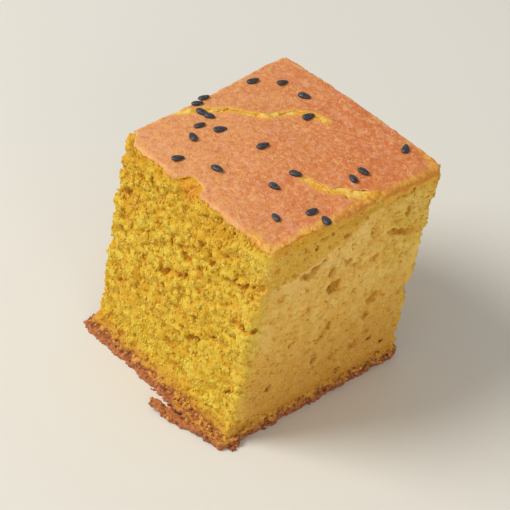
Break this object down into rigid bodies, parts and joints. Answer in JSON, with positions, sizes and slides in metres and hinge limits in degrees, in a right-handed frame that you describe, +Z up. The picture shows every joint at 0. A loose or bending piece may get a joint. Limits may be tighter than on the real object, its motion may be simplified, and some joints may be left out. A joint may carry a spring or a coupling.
{
  "type": "cornbread square",
  "caption": "Tall cut square of yellow cornbread with a smooth browned top crust, crumbly leaning sides and a thin ragged bottom crust.",
  "frame": {"origin": "under the middle of the bounding box, in the plane of the flat base that rests on the table or plate", "axes": "+Z up; -Y is the torn cut face that the square's slant makes lean back, +X the knife-smooth cut face to its right; the top stands over towards +Y"},
  "size_m": [0.0478, 0.0558, 0.0461],
  "materials": {
    "crumb": "matte, open, moist golden crumb",
    "top_crust": "smooth satin browned crust",
    "bottom_crust": "matte, crumbly dark brown crust",
    "sesame": "satin black seed coat"
  },
  "bodies": {
    "root": {"cornbread_square": "crumb"}
  },
  "joints": []
}
